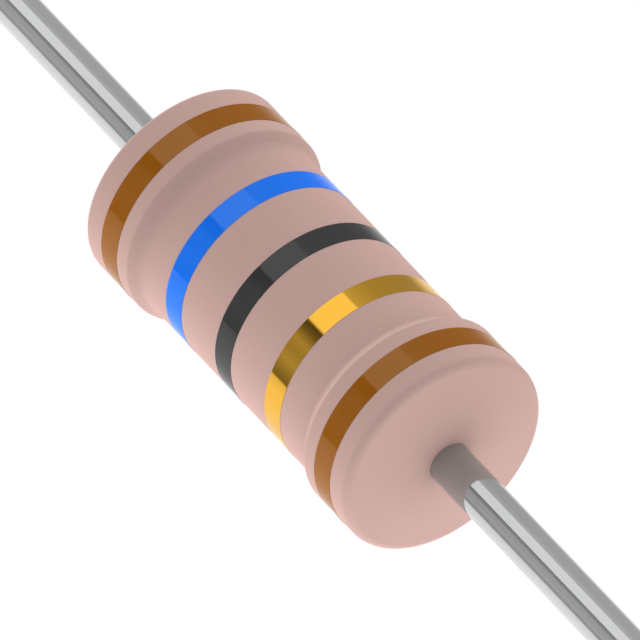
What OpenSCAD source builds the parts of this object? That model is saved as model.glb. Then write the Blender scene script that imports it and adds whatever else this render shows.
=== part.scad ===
/* [Lacquered body] */
// Distance between the rims of the two end faces
body_length = 8.25; // [7.6:0.05:9.4]
// Thickness of lacquer on the film, which makes the waist
waist_lacquer = 0.24; // [0.15:0.005:0.3]
// Thickness of lacquer around each end cap, which makes the raised ends
cap_lacquer = 0.205; // [0.12:0.005:0.3]
// Radius of the rounding around the rim of each end face
rim_round = 0.16; // [0.1:0.01:0.25]
// Height of the shallow dome of each end face where the lead comes out
dome_rise = 0.155; // [0.05:0.005:0.2]
// Steepest slope of the shoulder between waist and raised end, in degrees
shoulder_slope = 42; // [30:1:60]
// Radius of the rounding at the top of the shoulder
shoulder_crest_round = 0.08; // [0.05:0.01:0.25]
// Radius of the hollow rounding at the foot of the shoulder
shoulder_foot_round = 0.20; // [0.1:0.01:0.5]
// Thickness of lacquer between the end cap's face and the rim
end_lacquer = 0.195; // [0.15:0.005:0.3]
// Distance the middle of the shoulder stands inwards of the cap's mouth
shoulder_run = 0.015; // [0.0:0.005:0.15]

/* [Colour bands] */
// Width of each painted band
band_w = 0.49; // [0.3:0.01:0.6]
// Thickness of the paint
band_paint = 0.02; // [0.01:0.005:0.03]
// Bare waist between the blue or gold band and the foot of the shoulder
waist_band_gap = 0.745; // [0.3:0.005:0.9]
// Bare raised end between each outermost band and the rim of its end face
rim_band_gap = 0.515; // [0.3:0.005:0.6]

/* [Resistive element] */
// Diameter of the ceramic rod
rod_d = 3.24; // [3.0:0.01:3.3]
// Chamfer on the two edges of the rod
rod_chamfer = 0.10; // [0.05:0.01:0.15]
// Thickness of the resistive film on the rod
film = 0.03; // [0.02:0.005:0.04]
// Number of turns of the spiral trim cut through the film
cut_turns = 3; // [2:0.5:4]
// Uncut film between each end of the spiral cut and the cap
cut_gap = 0.78; // [0.4:0.02:1.2]
// Width of the spiral cut, measured along the rod
cut_w = 0.16; // [0.1:0.01:0.25]

/* [End caps] */
// Thickness of the caps' sheet steel
cap_wall = 0.20; // [0.15:0.01:0.22]
// Length of each cap along the rod
cap_length = 1.20; // [1.0:0.05:1.4]
// Radius of the rounding around the closed end of each cap
cap_round = 0.28; // [0.2:0.01:0.35]

/* [Leads] */
// Diameter of the lead wire
lead_d = 0.80; // [0.6:0.05:0.9]
// Length of each lead outside the body
lead_length = 28; // [20:0.5:35]
// Bevel around the cropped tip of each lead
lead_bevel = 0.06; // [0.02:0.01:0.1]
// Diameter of the upset foot that is welded to the cap
foot_d = 1.30; // [1.0:0.05:1.6]
// Height of the foot where it runs out into the wire
foot_h = 0.20; // [0.1:0.01:0.22]
// Height of the straight edge around the foot
foot_edge = 0.06; // [0.03:0.01:0.08]

/* [Hidden] */
$fn = 64;

rim_x = body_length / 2;
face_x = rim_x + dome_rise;
lead_r = lead_d / 2;

cap_face_x = rim_x - end_lacquer;
cap_mouth_x = cap_face_x - cap_length;
rod_end_x = cap_face_x - cap_wall;
rod_r = rod_d / 2;
film_r = rod_r + film;
film_end_x = rod_end_x - rod_chamfer;
cap_r = film_r + cap_wall;
waist_r = film_r + waist_lacquer;
bulge_r = cap_r + cap_lacquer;

// The domed end face is part of a sphere that meets the rim and the lead
dome_edge_r = bulge_r - rim_round;
dome_radius = (dome_edge_r * dome_edge_r + dome_rise * dome_rise) / (2 * dome_rise);
dome_centre_x = face_x - dome_radius;
dome_edge_angle = asin(dome_edge_r / dome_radius);
dome_lead_angle = asin(lead_r / dome_radius);

// The shoulder is a straight slope with a rounding tangent at either end of it
shoulder_x = cap_mouth_x - shoulder_run;
shoulder_half_run = (bulge_r - waist_r) / 2 / tan(shoulder_slope);
crest_x = shoulder_x + shoulder_half_run + shoulder_crest_round * tan(shoulder_slope / 2);
foot_x = shoulder_x - shoulder_half_run - shoulder_foot_round * tan(shoulder_slope / 2);

waist_band_x = foot_x - waist_band_gap - band_w / 2;
rim_band_x = rim_x - rim_band_gap - band_w / 2;

// The spiral cutter is a wedge about the rod, wide enough to clear the film on both sides
cut_length = 2 * (cap_mouth_x - cut_gap);
cut_angle = 360 * cut_w * cut_turns / cut_length;
cutter_margin = 0.05;
cutter_in_r = rod_r * cos(cut_angle / 2) - cutter_margin;
cutter_out_r = film_r / cos(cut_angle / 2) + cutter_margin;
cutter_steps_per_turn = 12;
cutter_sides = 4;

shoulder_steps = 4;
rim_steps = 5;
dome_steps = 3;
cap_steps = 4;

lacquer_pink = [0.80, 0.62, 0.58];
paint_brown = [0.50, 0.29, 0.13];
paint_blue = [0.12, 0.42, 0.85];
paint_black = [0.16, 0.16, 0.16];
paint_gold = [0.80, 0.62, 0.25];
tin_grey = [0.75, 0.76, 0.77];
cap_grey = [0.62, 0.63, 0.65];
ceramic_white = [0.93, 0.92, 0.88];
film_green = [0.35, 0.42, 0.38];

// Points of an arc from one angle to another, angles counted from the first axis
function arc(centre, r, from, to, steps) = [
    for (i = [0:steps])
        let (a = from + (to - from) * i / steps)
            centre + r * [cos(a), sin(a)]
];

// The same profile points reflected end for end, in the opposite order
function reflected(points) = [
    for (i = [len(points) - 1:-1:0])
        [-points[i].x, points[i].y]
];

// Right half of the body's outline, as distance along the axis and radius
function body_outline() = concat(
    arc([foot_x, waist_r + shoulder_foot_round], shoulder_foot_round,
        -90, shoulder_slope - 90, shoulder_steps),
    arc([crest_x, bulge_r - shoulder_crest_round], shoulder_crest_round,
        90 + shoulder_slope, 90, shoulder_steps),
    arc([rim_x - rim_round, bulge_r - rim_round], rim_round,
        90, dome_edge_angle, rim_steps),
    arc([dome_centre_x, 0], dome_radius,
        dome_edge_angle, dome_lead_angle, dome_steps)
);

// Turns a profile of [distance along the axis, radius] points about the X axis
module turned(profile) {
    rotate([0, 90, 0])
        rotate_extrude()
            polygon([for (p = profile) [p.y, p.x]]);
}

// A plain sleeve or disc about the X axis
module sleeve(from_x, to_x, in_r, out_r) {
    turned([[from_x, in_r], [to_x, in_r], [to_x, out_r], [from_x, out_r]]);
}

// Puts a shape made for the right-hand end at the left-hand end
module at_left() {
    mirror([1, 0, 0])
        children();
}

// Wedge that winds about the rod and opens the spiral cut in the film
module spiral_cutter() {
    rotate([0, 90, 0])
        translate([0, 0, -cut_length / 2])
            linear_extrude(
                height = cut_length,
                twist = -360 * cut_turns,
                slices = cut_turns * cutter_steps_per_turn,
                $fn = cutter_sides
            )
                polygon([
                    cutter_in_r * [cos(-cut_angle / 2), sin(-cut_angle / 2)],
                    cutter_out_r * [cos(-cut_angle / 2), sin(-cut_angle / 2)],
                    cutter_out_r * [cos(cut_angle / 2), sin(cut_angle / 2)],
                    cutter_in_r * [cos(cut_angle / 2), sin(cut_angle / 2)]
                ]);
}

// Sleeve of the film's thickness with the spiral cut through it
module trimmed_sleeve(end_x) {
    difference() {
        sleeve(-end_x, end_x, rod_r, film_r);
        spiral_cutter();
    }
}

// Pressed cup that grips the right-hand end of the coated rod
module end_cap() {
    turned(concat(
        [
            [cap_mouth_x, film_r],
            [rod_end_x, film_r],
            [rod_end_x, 0],
            [cap_face_x, 0]
        ],
        arc([cap_face_x - cap_round, cap_r - cap_round], cap_round, 0, 90, cap_steps),
        [[cap_mouth_x, cap_r]]
    ));
}

// Straight wire with the foot that joins it to the right-hand cap
module lead() {
    tip_x = face_x + lead_length;
    turned([
        [cap_face_x, 0],
        [cap_face_x, foot_d / 2],
        [cap_face_x + foot_edge, foot_d / 2],
        [cap_face_x + foot_h, lead_r],
        [tip_x - lead_bevel, lead_r],
        [tip_x, lead_r - lead_bevel],
        [tip_x, 0]
    ]);
}

// Ring of paint around the body at one place along it
module painted_band(centre_x, seat_r) {
    sleeve(centre_x - band_w / 2, centre_x + band_w / 2, seat_r, seat_r + band_paint);
}

module ceramic_rod() {
    color(ceramic_white)
        turned([
            [-rod_end_x, 0],
            [-rod_end_x, rod_r - rod_chamfer],
            [-film_end_x, rod_r],
            [film_end_x, rod_r],
            [rod_end_x, rod_r - rod_chamfer],
            [rod_end_x, 0]
        ]);
}

module resistive_film() {
    color(film_green)
        trimmed_sleeve(film_end_x);
}

module end_cap_left() {
    color(cap_grey)
        at_left()
            end_cap();
}

module end_cap_right() {
    color(cap_grey)
        end_cap();
}

module lead_left() {
    color(tin_grey)
        at_left()
            lead();
}

module lead_right() {
    color(tin_grey)
        lead();
}

// Lacquer around everything inside; it also fills the spiral cut
module coating() {
    color(lacquer_pink)
        difference() {
            turned(concat(
                [[-face_x, 0]],
                reflected(body_outline()),
                body_outline(),
                [[face_x, 0]]
            ));
            sleeve(-rod_end_x, rod_end_x, 0, rod_r);
            trimmed_sleeve(rod_end_x);
            end_cap();
            at_left()
                end_cap();
            lead();
            at_left()
                lead();
        }
}

module band_1_brown() {
    color(paint_brown)
        painted_band(-rim_band_x, bulge_r);
}

module band_2_blue() {
    color(paint_blue)
        painted_band(-waist_band_x, waist_r);
}

module band_3_black() {
    color(paint_black)
        painted_band(0, waist_r);
}

module band_4_gold() {
    color(paint_gold)
        painted_band(waist_band_x, waist_r);
}

module band_5_brown() {
    color(paint_brown)
        painted_band(rim_band_x, bulge_r);
}

ceramic_rod();
resistive_film();
end_cap_left();
end_cap_right();
lead_left();
lead_right();
coating();
band_1_brown();
band_2_blue();
band_3_black();
band_4_gold();
band_5_brown();
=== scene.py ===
import math

import bmesh
import bpy
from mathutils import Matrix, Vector


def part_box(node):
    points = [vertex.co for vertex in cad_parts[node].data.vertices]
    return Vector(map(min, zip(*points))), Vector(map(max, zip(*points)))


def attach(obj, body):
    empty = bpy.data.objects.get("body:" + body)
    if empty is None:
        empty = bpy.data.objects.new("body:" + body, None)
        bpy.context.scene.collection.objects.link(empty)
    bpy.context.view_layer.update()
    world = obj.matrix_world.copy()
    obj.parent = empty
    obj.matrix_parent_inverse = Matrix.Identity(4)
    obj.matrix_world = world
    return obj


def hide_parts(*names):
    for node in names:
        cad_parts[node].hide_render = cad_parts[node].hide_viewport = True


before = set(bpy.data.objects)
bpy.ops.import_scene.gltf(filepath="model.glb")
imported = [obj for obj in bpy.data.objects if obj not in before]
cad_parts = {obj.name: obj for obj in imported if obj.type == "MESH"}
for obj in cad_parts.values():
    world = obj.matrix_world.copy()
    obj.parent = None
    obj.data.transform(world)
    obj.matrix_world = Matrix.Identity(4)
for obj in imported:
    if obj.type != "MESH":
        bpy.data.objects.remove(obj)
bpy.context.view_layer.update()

MM = 0.001

# Camera; Blender takes the lens and the sensor in millimetres
camera_azimuth = math.radians(56.363)
camera_elevation = math.radians(44.381)
camera_distance = 484.5 * MM
camera_lens = 1560
camera_sensor = 36
# How far the middle of the picture lies from the middle of the resistor
picture_right = 0.1191 * MM
picture_up = -0.0156 * MM

# Lacquered body, where the frame doesn't give it
# The rim at the near end face is rounder than the one at the far end
near_rim_round = 0.175 * MM
far_rim_round = 0.10 * MM
dome_rise = 0.155 * MM
shoulder_slope = math.radians(42)
shoulder_crest_round = 0.08 * MM
shoulder_foot_round = 0.20 * MM
# Distance the middle of the shoulder stands inwards of the cap's mouth
shoulder_run = 0.015 * MM
cap_round = 0.28 * MM

# Paint: how thick the frame has it, and how thick it shows
band_paint = 0.02 * MM
paint_height = 0.006 * MM
paint_edge_round = 0.005 * MM
# Distance from the rounding to the ring of points that keeps the shading of the flat top level
paint_support = 0.005 * MM

# Leads
lead_r = 0.40 * MM
lead_bevel = 0.06 * MM
foot_edge = 0.06 * MM
foot_h = 0.20 * MM

# Radii and places that the frame gives
bulge_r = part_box("coating")[1].z
face_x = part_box("coating")[1].x
rim_x = face_x - dome_rise
waist_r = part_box("band_3_black")[1].z - band_paint
film_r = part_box("resistive_film")[1].z
cap_mouth_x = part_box("end_cap_right")[0].x
cap_face_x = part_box("end_cap_right")[1].x
cap_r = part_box("end_cap_right")[1].z
foot_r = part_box("lead_right")[1].z
tip_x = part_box("lead_right")[1].x

# Fineness of the meshes: steps round the axis, and steps of each arc of the outline
turn_steps = 256
lead_steps = 128
shoulder_steps = 14
rim_steps = 28
dome_steps = 4
cap_steps = 8
paint_edge_steps = 4
# Points nearer to each other or to the axis than this, in metres, are taken as one
same_point = 1e-9
# Edges sharper than this stay sharp in the shading
sharp_angle = math.radians(25)
right_angle = math.pi / 2

# Floor, in metres
floor_size = 4.0
floor_z = -0.10

# Colours of the surfaces, as linear red, green and blue
white = (1, 1, 1)
lacquer_colour = (0.47, 0.313, 0.282)
brown_colour = (0.2415, 0.0768, 0.002)
blue_colour = (0.0047, 0.141, 0.74)
black_colour = (0.029, 0.030, 0.029)
gold_colour = (0.53, 0.288, 0.034)
tin_colour = (0.391, 0.400, 0.395)
ceramic_colour = (0.86, 0.84, 0.79)
film_colour = (0.13, 0.15, 0.15)
steel_colour = (0.60, 0.60, 0.61)

# Share of the light that the clear surface of each paint throws back head on
brown_gloss = (0.034, 0.0254, 0.016)
blue_gloss = (0.0163, 0.0285, 0.048)
black_gloss = (0.021, 0.021, 0.021)
# Refraction of that clear surface, which sets how its gloss grows towards a grazing angle
paint_ior = 1.10
# Tints of what the metals throw back towards a grazing angle
gold_edge_tint = (1, 0.92, 0.75)
tin_edge_tint = (0.9, 0.9, 0.9)
# The tin is part bright metal and part dull grey
tin_metallic = 0.61

# Width of the features of each noise
pigment_size = 0.05 * MM
peel_size = 0.35 * MM
lacquer_patch = 0.4 * MM
cover_size = 0.25 * MM
paint_patch = 0.3 * MM
flake_size = 0.02 * MM
drawn_line = 0.03 * MM
wire_patch = 0.2 * MM
ceramic_grain = 0.08 * MM
film_grain = 0.05 * MM
steel_grain = 0.06 * MM
# Patches of roughness on the hidden pieces, in grains
hidden_patch = 2
# Heights of the bumps
peel_height = 0.0006 * MM
hidden_bump = 0.002 * MM
# How far the roughness of the hidden pieces strays either way
hidden_spread = 0.06
# Scaling of a noise along X, Y and Z: even, or drawn out along the axis
even = (1, 1, 1)
drawn_wire = (0.02, 1, 1)
drawn_steel = (0.1, 1, 1)
# Noise goes from 0 to 1 and stays mostly between these two levels
noise_low = 0.3
noise_high = 0.7

# What the glossy paint and the wires reflect, going round the resistor's axis:
# degrees from straight up towards +Y, and brightness there
STUDIO_ROUND = [
    # Bright wall low in front
    (-180, 1.4), (-150, 1.75), (-120, 1.8), (-105, 1.5),
    # Dim stretch between the wall and the panel above
    (-104, 0.3), (-80, 0.75), (-67, 0.6), (-55, 0.7), (-42, 0.25), (-33, 0.1),
    # Bright panel above
    (-32, 1.9), (12.8, 1.9),
    # Soft light behind, which fades downwards
    (13.8, 1.0), (40, 0.7), (97, 0.6),
    # Brighter ground behind and below
    (115, 1.2), (165, 1.25), (180, 1.4),
]
full_turn = 360
# Place of straight up on the ramp that holds the list above
straight_up = 0.5

# Broad soft lights on the matt surfaces: where each comes from, how narrow it is, and its brightness
SOFT_LIGHTS = [
    # Even light from all round
    ((0, 0, 1), 0, 0.4),
    # Main light, low beyond the far end
    ((-1, 0, -1), 4, 2.5),
    # Level with the far end, and high behind it
    ((-1, 0, 0), 4, 1.0),
    ((-1, 1, 1), 4, 0.75),
    # Low in front
    ((0, -1, -1), 4, 0.5),
    # Low beyond the near end, and behind it
    ((1, 0, -1), 4, 1.5),
    ((1, 1, 0), 4, 0.5),
]


def arc(centre_x, centre_r, radius, start, end, steps):
    """Points [x, r] of an arc; angles in radians, counted from the resistor's axis."""
    turn = (end - start) / steps
    return [
        (centre_x + radius * math.cos(start + turn * i),
         centre_r + radius * math.sin(start + turn * i))
        for i in range(steps + 1)
    ]


def reflected(points):
    """The same points end for end, in the opposite order."""
    return [(-x, r) for x, r in reversed(points)]


def without_repeats(points):
    """The closed outline with no point twice in a row."""
    kept = []
    for point in points:
        if not kept or math.dist(point, kept[-1]) > same_point:
            kept.append(point)
    if math.dist(kept[0], kept[-1]) < same_point:
        kept.pop()
    return kept


def turned(name, outline, steps):
    """Closed shell made by turning a closed [x, r] outline about the X axis."""
    mesh = bmesh.new()
    rings = []
    for x, r in without_repeats(outline):
        if r < same_point:
            rings.append([mesh.verts.new((x, 0, 0))])
            continue
        ring = []
        for k in range(steps):
            angle = 2 * math.pi * k / steps
            ring.append(mesh.verts.new((x, r * math.sin(angle), r * math.cos(angle))))
        rings.append(ring)
    for ring, following in zip(rings, rings[1:] + rings[:1]):
        if len(ring) == 1 and len(following) == 1:
            continue
        for k in range(steps):
            corners = [ring[k % len(ring)], ring[(k + 1) % len(ring)],
                       following[(k + 1) % len(following)], following[k % len(following)]]
            mesh.faces.new(list(dict.fromkeys(corners)))
    bmesh.ops.recalc_face_normals(mesh, faces=mesh.faces)
    data = bpy.data.meshes.new(name)
    mesh.to_mesh(data)
    mesh.free()
    data.shade_smooth()
    data.set_sharp_from_angle(angle=sharp_angle)
    piece = bpy.data.objects.new(name, data)
    bpy.context.scene.collection.objects.link(piece)
    return piece


def finished(piece, material, node):
    """Gives a piece its material and its place in the frame."""
    piece.data.materials.append(material)
    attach(piece, "root")
    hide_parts(node)


def body_outline(rim_round):
    """Right half of the lacquer's outside, from the foot of the shoulder to the lead."""
    dome_edge_r = bulge_r - rim_round
    dome_radius = (dome_edge_r ** 2 + dome_rise ** 2) / (2 * dome_rise)
    dome_x = face_x - dome_radius
    shoulder_x = cap_mouth_x - shoulder_run
    half_run = (bulge_r - waist_r) / 2 / math.tan(shoulder_slope)
    crest_x = shoulder_x + half_run + shoulder_crest_round * math.tan(shoulder_slope / 2)
    foot_x = shoulder_x - half_run - shoulder_foot_round * math.tan(shoulder_slope / 2)
    dome_edge_angle = math.asin(dome_edge_r / dome_radius)
    lead_angle = math.asin(lead_r / dome_radius)
    return (
        arc(foot_x, waist_r + shoulder_foot_round, shoulder_foot_round,
            -right_angle, shoulder_slope - right_angle, shoulder_steps)
        + arc(crest_x, bulge_r - shoulder_crest_round, shoulder_crest_round,
              right_angle + shoulder_slope, right_angle, shoulder_steps)
        + arc(rim_x - rim_round, dome_edge_r, rim_round, right_angle, dome_edge_angle, rim_steps)
        + arc(dome_x, 0, dome_radius, dome_edge_angle, lead_angle, dome_steps)
    )


def body_inside():
    """Right half of the lacquer's inside, from the lead to the film."""
    return (
        [(cap_face_x + foot_h, lead_r), (cap_face_x + foot_edge, foot_r), (cap_face_x, foot_r)]
        + arc(cap_face_x - cap_round, cap_r - cap_round, cap_round, 0, right_angle, cap_steps)
        + [(cap_mouth_x, cap_r), (cap_mouth_x, film_r)]
    )


def make_coating(material):
    """The lacquer, as a skin around the rod, the caps and the feet of the leads."""
    inside = body_inside()
    outline = (
        body_outline(near_rim_round) + inside
        + reflected(inside) + reflected(body_outline(far_rim_round))
    )
    piece = turned("lacquer_body", outline, turn_steps)
    finished(piece, material, "coating")


def make_lead(name, node, side, material):
    """One lead with its foot; side is 1 at the right-hand end and -1 at the left-hand end."""
    outline = [
        (cap_face_x, 0),
        (cap_face_x, foot_r),
        (cap_face_x + foot_edge, foot_r),
        (cap_face_x + foot_h, lead_r),
        (tip_x - lead_bevel, lead_r),
        (tip_x, lead_r - lead_bevel),
        (tip_x, 0),
    ]
    piece = turned(name, [(side * x, r) for x, r in outline], lead_steps)
    finished(piece, material, node)


def make_band(name, node, seat_r, material):
    """One ring of paint, where its node is, on a seat of the radius given."""
    low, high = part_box(node)
    top = seat_r + paint_height
    edge = paint_edge_round
    support = paint_support
    outline = (
        [(low.x, seat_r)]
        + arc(low.x + edge, top - edge, edge, 2 * right_angle, right_angle, paint_edge_steps)
        + [(low.x + edge + support, top), (high.x - edge - support, top)]
        + arc(high.x - edge, top - edge, edge, right_angle, 0, paint_edge_steps)
        + [(high.x, seat_r)]
    )
    piece = turned(name, outline, turn_steps)
    finished(piece, material, node)


def opaque(colour):
    """The colour with full alpha, as Blender's sockets take it."""
    return (*colour, 1)


def tinted(colour, factor):
    """The colour made darker or lighter by a factor."""
    return tuple(channel * factor for channel in colour)


class Nodes:
    """Short way to build one node tree."""

    def __init__(self, tree):
        self.tree = tree
        tree.nodes.clear()

    def add(self, kind, **settings):
        """A new node of a kind, with its own settings."""
        made = self.tree.nodes.new(kind)
        for name, value in settings.items():
            setattr(made, name, value)
        return made

    def plug(self, source, target):
        """Feeds the target socket from the source socket."""
        self.tree.links.new(source, target)

    def math(self, operation, *values):
        """A Math node; each value is a number or the socket that feeds it."""
        made = self.add("ShaderNodeMath", operation=operation)
        for socket, value in zip(made.inputs, values):
            if isinstance(value, (int, float)):
                socket.default_value = value
            else:
                self.plug(value, socket)
        return made.outputs[0]

    def place(self, stretch):
        """Place on the piece in metres, scaled along each axis."""
        place = self.add("ShaderNodeTexCoord").outputs["Object"]
        mapping = self.add("ShaderNodeMapping", vector_type="POINT")
        mapping.inputs["Scale"].default_value = stretch
        self.plug(place, mapping.inputs["Vector"])
        return mapping.outputs["Vector"]

    def noise(self, size, detail=2, stretch=even):
        """Noise from 0 to 1 whose features are about size metres wide."""
        made = self.add("ShaderNodeTexNoise")
        made.inputs["Scale"].default_value = 1 / size
        made.inputs["Detail"].default_value = detail
        self.plug(self.place(stretch), made.inputs["Vector"])
        return made.outputs["Fac"]

    def ramp(self, value, stops):
        """A colour ramp; stops are (place, colour), in the order of their places."""
        made = self.add("ShaderNodeValToRGB")
        elements = made.color_ramp.elements
        for place, _ in stops[len(elements):]:
            elements.new(place)
        for element, (place, colour) in zip(elements, stops):
            element.position = place
            element.color = opaque(colour)
        self.plug(value, made.inputs["Fac"])
        return made.outputs["Color"]

    def between(self, value, low, high):
        """Value from 0 to 1 carried over to the range low to high."""
        made = self.add("ShaderNodeMapRange")
        self.plug(value, made.inputs["Value"])
        made.inputs["To Min"].default_value = low
        made.inputs["To Max"].default_value = high
        return made.outputs["Result"]

    def bump(self, height, distance):
        """A normal bent by a height from 0 to 1 that stands for distance metres."""
        made = self.add("ShaderNodeBump")
        made.inputs["Strength"].default_value = 1
        made.inputs["Distance"].default_value = distance
        self.plug(height, made.inputs["Height"])
        return made.outputs["Normal"]

    def background(self, source=None):
        """Light of the surroundings, plain white where no socket feeds its colour."""
        made = self.add("ShaderNodeBackground")
        if source is None:
            made.inputs["Color"].default_value = opaque(white)
        else:
            self.plug(source, made.inputs["Color"])
        return made.outputs["Background"]


def new_material(name):
    """A material with a bare Principled shader, and what is needed to build on it."""
    material = bpy.data.materials.new(name)
    material.use_nodes = True
    nodes = Nodes(material.node_tree)
    shader = nodes.add("ShaderNodeBsdfPrincipled")
    output = nodes.add("ShaderNodeOutputMaterial")
    nodes.plug(shader.outputs["BSDF"], output.inputs["Surface"])
    return material, nodes, shader


def vary_colour(nodes, shader, noise, colour, dark, light):
    """Base colour that goes with a noise, from dark times the colour to light times it."""
    stops = [(noise_low, tinted(colour, dark)), (noise_high, tinted(colour, light))]
    nodes.plug(nodes.ramp(noise, stops), shader.inputs["Base Color"])


def vary_roughness(nodes, shader, noise, low, high):
    """Roughness that goes with a noise, from low to high."""
    nodes.plug(nodes.between(noise, low, high), shader.inputs["Roughness"])


def lacquer():
    """Matt pink cement lacquer without gloss, with fine pigment and a faint orange peel."""
    material, nodes, shader = new_material("lacquer_pink")
    pigment = nodes.noise(pigment_size, detail=3)
    vary_colour(nodes, shader, pigment, lacquer_colour, dark=0.985, light=1.015)
    shader.inputs["Specular IOR Level"].default_value = 0
    vary_roughness(nodes, shader, nodes.noise(lacquer_patch), low=0.62, high=0.72)
    peel = nodes.noise(peel_size, detail=1)
    nodes.plug(nodes.bump(peel, peel_height), shader.inputs["Normal"])
    return material


def paint(name, colour, gloss):
    """Printed paint; gloss is the share of light that its clear surface throws back head on."""
    material, nodes, shader = new_material(name)
    vary_colour(nodes, shader, nodes.noise(cover_size), colour, dark=0.98, light=1.02)
    shader.inputs["IOR"].default_value = paint_ior
    # The shader works out this share from the refraction, and the tint turns it into the gloss
    head_on = ((paint_ior - 1) / (paint_ior + 1)) ** 2
    shader.inputs["Specular Tint"].default_value = opaque(tinted(gloss, 1 / head_on))
    vary_roughness(nodes, shader, nodes.noise(paint_patch), low=0.05, high=0.08)
    return material


def gold_paint():
    """Metallic gold paint."""
    material, nodes, shader = new_material("paint_gold")
    flake = nodes.noise(flake_size, detail=1)
    vary_colour(nodes, shader, flake, gold_colour, dark=0.98, light=1)
    shader.inputs["Metallic"].default_value = 1
    shader.inputs["Specular Tint"].default_value = opaque(gold_edge_tint)
    vary_roughness(nodes, shader, nodes.noise(paint_patch), low=0.06, high=0.09)
    return material


def tin():
    """Bright tinned wire with faint lines drawn along it."""
    material, nodes, shader = new_material("tinned_wire")
    lines = nodes.noise(drawn_line, stretch=drawn_wire)
    vary_colour(nodes, shader, lines, tin_colour, dark=0.985, light=1.01)
    shader.inputs["Metallic"].default_value = tin_metallic
    shader.inputs["Specular Tint"].default_value = opaque(tin_edge_tint)
    patches = nodes.noise(wire_patch, stretch=drawn_wire)
    vary_roughness(nodes, shader, patches, low=0.03, high=0.06)
    return material


def hidden_material(name, colour, metallic, roughness, grain, stretch=even):
    """Plain finish of a piece that the lacquer covers."""
    material, nodes, shader = new_material(name)
    tone = nodes.noise(grain, detail=3, stretch=stretch)
    vary_colour(nodes, shader, tone, colour, dark=0.93, light=1.04)
    shader.inputs["Metallic"].default_value = metallic
    patches = nodes.noise(grain * hidden_patch, stretch=stretch)
    vary_roughness(nodes, shader, patches, roughness - hidden_spread, roughness + hidden_spread)
    nodes.plug(nodes.bump(tone, hidden_bump), shader.inputs["Normal"])
    return material


def finish_hidden_nodes():
    """Gives the CAD nodes inside the lacquer their materials."""
    ceramic = hidden_material("ceramic", ceramic_colour, metallic=0, roughness=0.55, grain=ceramic_grain)
    film = hidden_material("film", film_colour, metallic=0.6, roughness=0.35, grain=film_grain)
    steel = hidden_material("cap_steel", steel_colour, metallic=1, roughness=0.3,
                            grain=steel_grain, stretch=drawn_steel)
    finishes = {
        "ceramic_rod": ceramic,
        "resistive_film": film,
        "end_cap_left": steel,
        "end_cap_right": steel,
    }
    for node, material in finishes.items():
        for material_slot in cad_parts[node].material_slots:
            material_slot.material = material


def make_world():
    """The studio: the camera sees white, gloss sees the panels, and the rest gets the soft lights."""
    world = bpy.data.worlds.new("studio")
    bpy.context.scene.world = world
    world.use_nodes = True
    world.cycles.sampling_method = "NONE"
    nodes = Nodes(world.node_tree)
    direction = nodes.add("ShaderNodeTexCoord").outputs["Generated"]

    parts = nodes.add("ShaderNodeSeparateXYZ")
    nodes.plug(direction, parts.inputs["Vector"])
    turn = nodes.math("ARCTAN2", parts.outputs["Y"], parts.outputs["Z"])
    share = nodes.math("MULTIPLY_ADD", turn, 1 / (2 * math.pi), straight_up)
    stops = [(straight_up + angle / full_turn, tinted(white, level)) for angle, level in STUDIO_ROUND]
    panels = nodes.ramp(share, stops)

    soft = 0.0
    for toward, narrowness, strength in SOFT_LIGHTS:
        facing = nodes.add("ShaderNodeVectorMath", operation="DOT_PRODUCT")
        nodes.plug(direction, facing.inputs[0])
        facing.inputs[1].default_value = Vector(toward).normalized()
        # 0 on the side away from the light, 1 straight towards it
        near = nodes.math("MULTIPLY_ADD", facing.outputs["Value"], 0.5, 0.5)
        soft = nodes.math("MULTIPLY_ADD", nodes.math("POWER", near, narrowness), strength, soft)

    ray = nodes.add("ShaderNodeLightPath")
    shown = nodes.background(soft)
    for flag, light in (
        ("Is Glossy Ray", nodes.background(panels)),
        ("Is Camera Ray", nodes.background()),
    ):
        mix = nodes.add("ShaderNodeMixShader")
        nodes.plug(ray.outputs[flag], mix.inputs["Fac"])
        nodes.plug(shown, mix.inputs[1])
        nodes.plug(light, mix.inputs[2])
        shown = mix.outputs["Shader"]
    output = nodes.add("ShaderNodeOutputWorld")
    nodes.plug(shown, output.inputs["Surface"])


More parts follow.
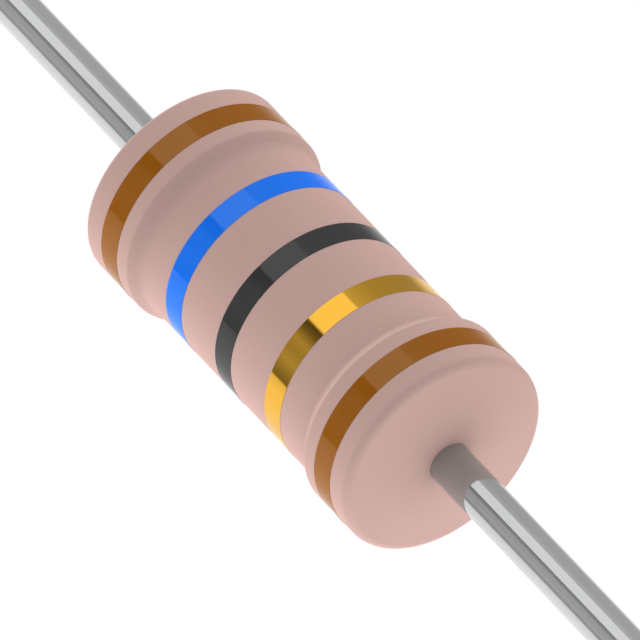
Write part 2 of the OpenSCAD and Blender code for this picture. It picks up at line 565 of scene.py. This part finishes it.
def make_floor():
    """Plain white floor, which the camera sees and which throws no light back."""
    half = floor_size / 2
    corners = [
        (-half, -half, floor_z),
        (half, -half, floor_z),
        (half, half, floor_z),
        (-half, half, floor_z),
    ]
    data = bpy.data.meshes.new("floor")
    data.from_pydata(corners, [], [tuple(range(len(corners)))])
    floor = bpy.data.objects.new("floor", data)
    bpy.context.scene.collection.objects.link(floor)
    material = bpy.data.materials.new("floor_white")
    material.use_nodes = True
    nodes = Nodes(material.node_tree)
    glow = nodes.add("ShaderNodeEmission")
    glow.inputs["Color"].default_value = opaque(white)
    output = nodes.add("ShaderNodeOutputMaterial")
    nodes.plug(glow.outputs["Emission"], output.inputs["Surface"])
    data.materials.append(material)
    floor.visible_diffuse = False
    floor.visible_glossy = False
    floor.visible_shadow = False


def make_camera():
    """Camera far off with a long lens, at the photograph's angle."""
    back = Vector((
        math.sin(camera_azimuth) * math.cos(camera_elevation),
        -math.cos(camera_azimuth) * math.cos(camera_elevation),
        math.sin(camera_elevation),
    ))
    right = Vector((math.cos(camera_azimuth), math.sin(camera_azimuth), 0))
    up = back.cross(right)
    data = bpy.data.cameras.new("camera")
    data.sensor_width = camera_sensor
    data.lens = camera_lens
    camera = bpy.data.objects.new("camera", data)
    camera.location = back * camera_distance + right * picture_right + up * picture_up
    camera.rotation_mode = "QUATERNION"
    camera.rotation_quaternion = (-back).to_track_quat("-Z", "Y")
    bpy.context.scene.collection.objects.link(camera)
    bpy.context.scene.camera = camera


make_camera()
make_world()
make_floor()
bpy.context.scene.view_settings.view_transform = "Standard"
# The soft lights alone shade the matt surfaces
bpy.context.scene.cycles.diffuse_bounces = 0

make_coating(lacquer())
wire = tin()
make_lead("wire_left", "lead_left", -1, wire)
make_lead("wire_right", "lead_right", 1, wire)
brown = paint("paint_brown", brown_colour, brown_gloss)
blue = paint("paint_blue", blue_colour, blue_gloss)
black = paint("paint_black", black_colour, black_gloss)
make_band("ring_1_brown", "band_1_brown", bulge_r, brown)
make_band("ring_2_blue", "band_2_blue", waist_r, blue)
make_band("ring_3_black", "band_3_black", waist_r, black)
make_band("ring_4_gold", "band_4_gold", waist_r, gold_paint())
make_band("ring_5_brown", "band_5_brown", bulge_r, brown)
finish_hidden_nodes()
